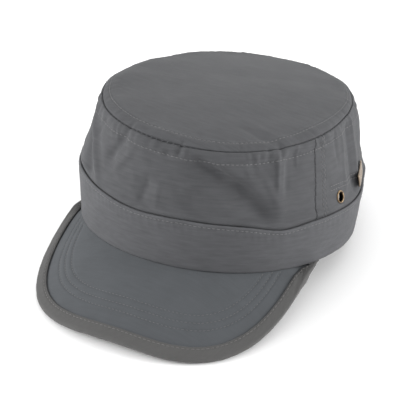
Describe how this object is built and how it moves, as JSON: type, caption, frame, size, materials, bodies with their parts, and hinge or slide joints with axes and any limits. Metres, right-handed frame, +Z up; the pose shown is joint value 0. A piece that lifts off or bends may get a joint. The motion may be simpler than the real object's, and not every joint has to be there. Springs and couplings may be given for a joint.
{
  "type": "patrol cap",
  "caption": "Soft flat-topped cloth cap with a turned-up band and a stiff bound peak, worn on the head to shade the eyes.",
  "frame": {"origin": "centre of the bounding box, on the table that the cap lies on", "axes": "+Z up from the table, -Y the way the peak points, +X the wearer's left"},
  "size_m": [0.1818, 0.2556, 0.1089],
  "materials": {
    "crown_cloth": "matt grey cotton with fine ribs",
    "peak_cloth": "matt grey cotton drawn over a board",
    "binding_cloth": "matt warm grey tape",
    "old_brass": "dull and darkened"
  },
  "bodies": {
    "root": {"crown_top": "crown_cloth", "crown_front": "crown_cloth", "crown_back": "crown_cloth", "band": "crown_cloth", "peak": "peak_cloth", "peak_binding": "binding_cloth", "eyelet_left": "old_brass", "eyelet_right": "old_brass", "badge": "old_brass"}
  },
  "joints": []
}
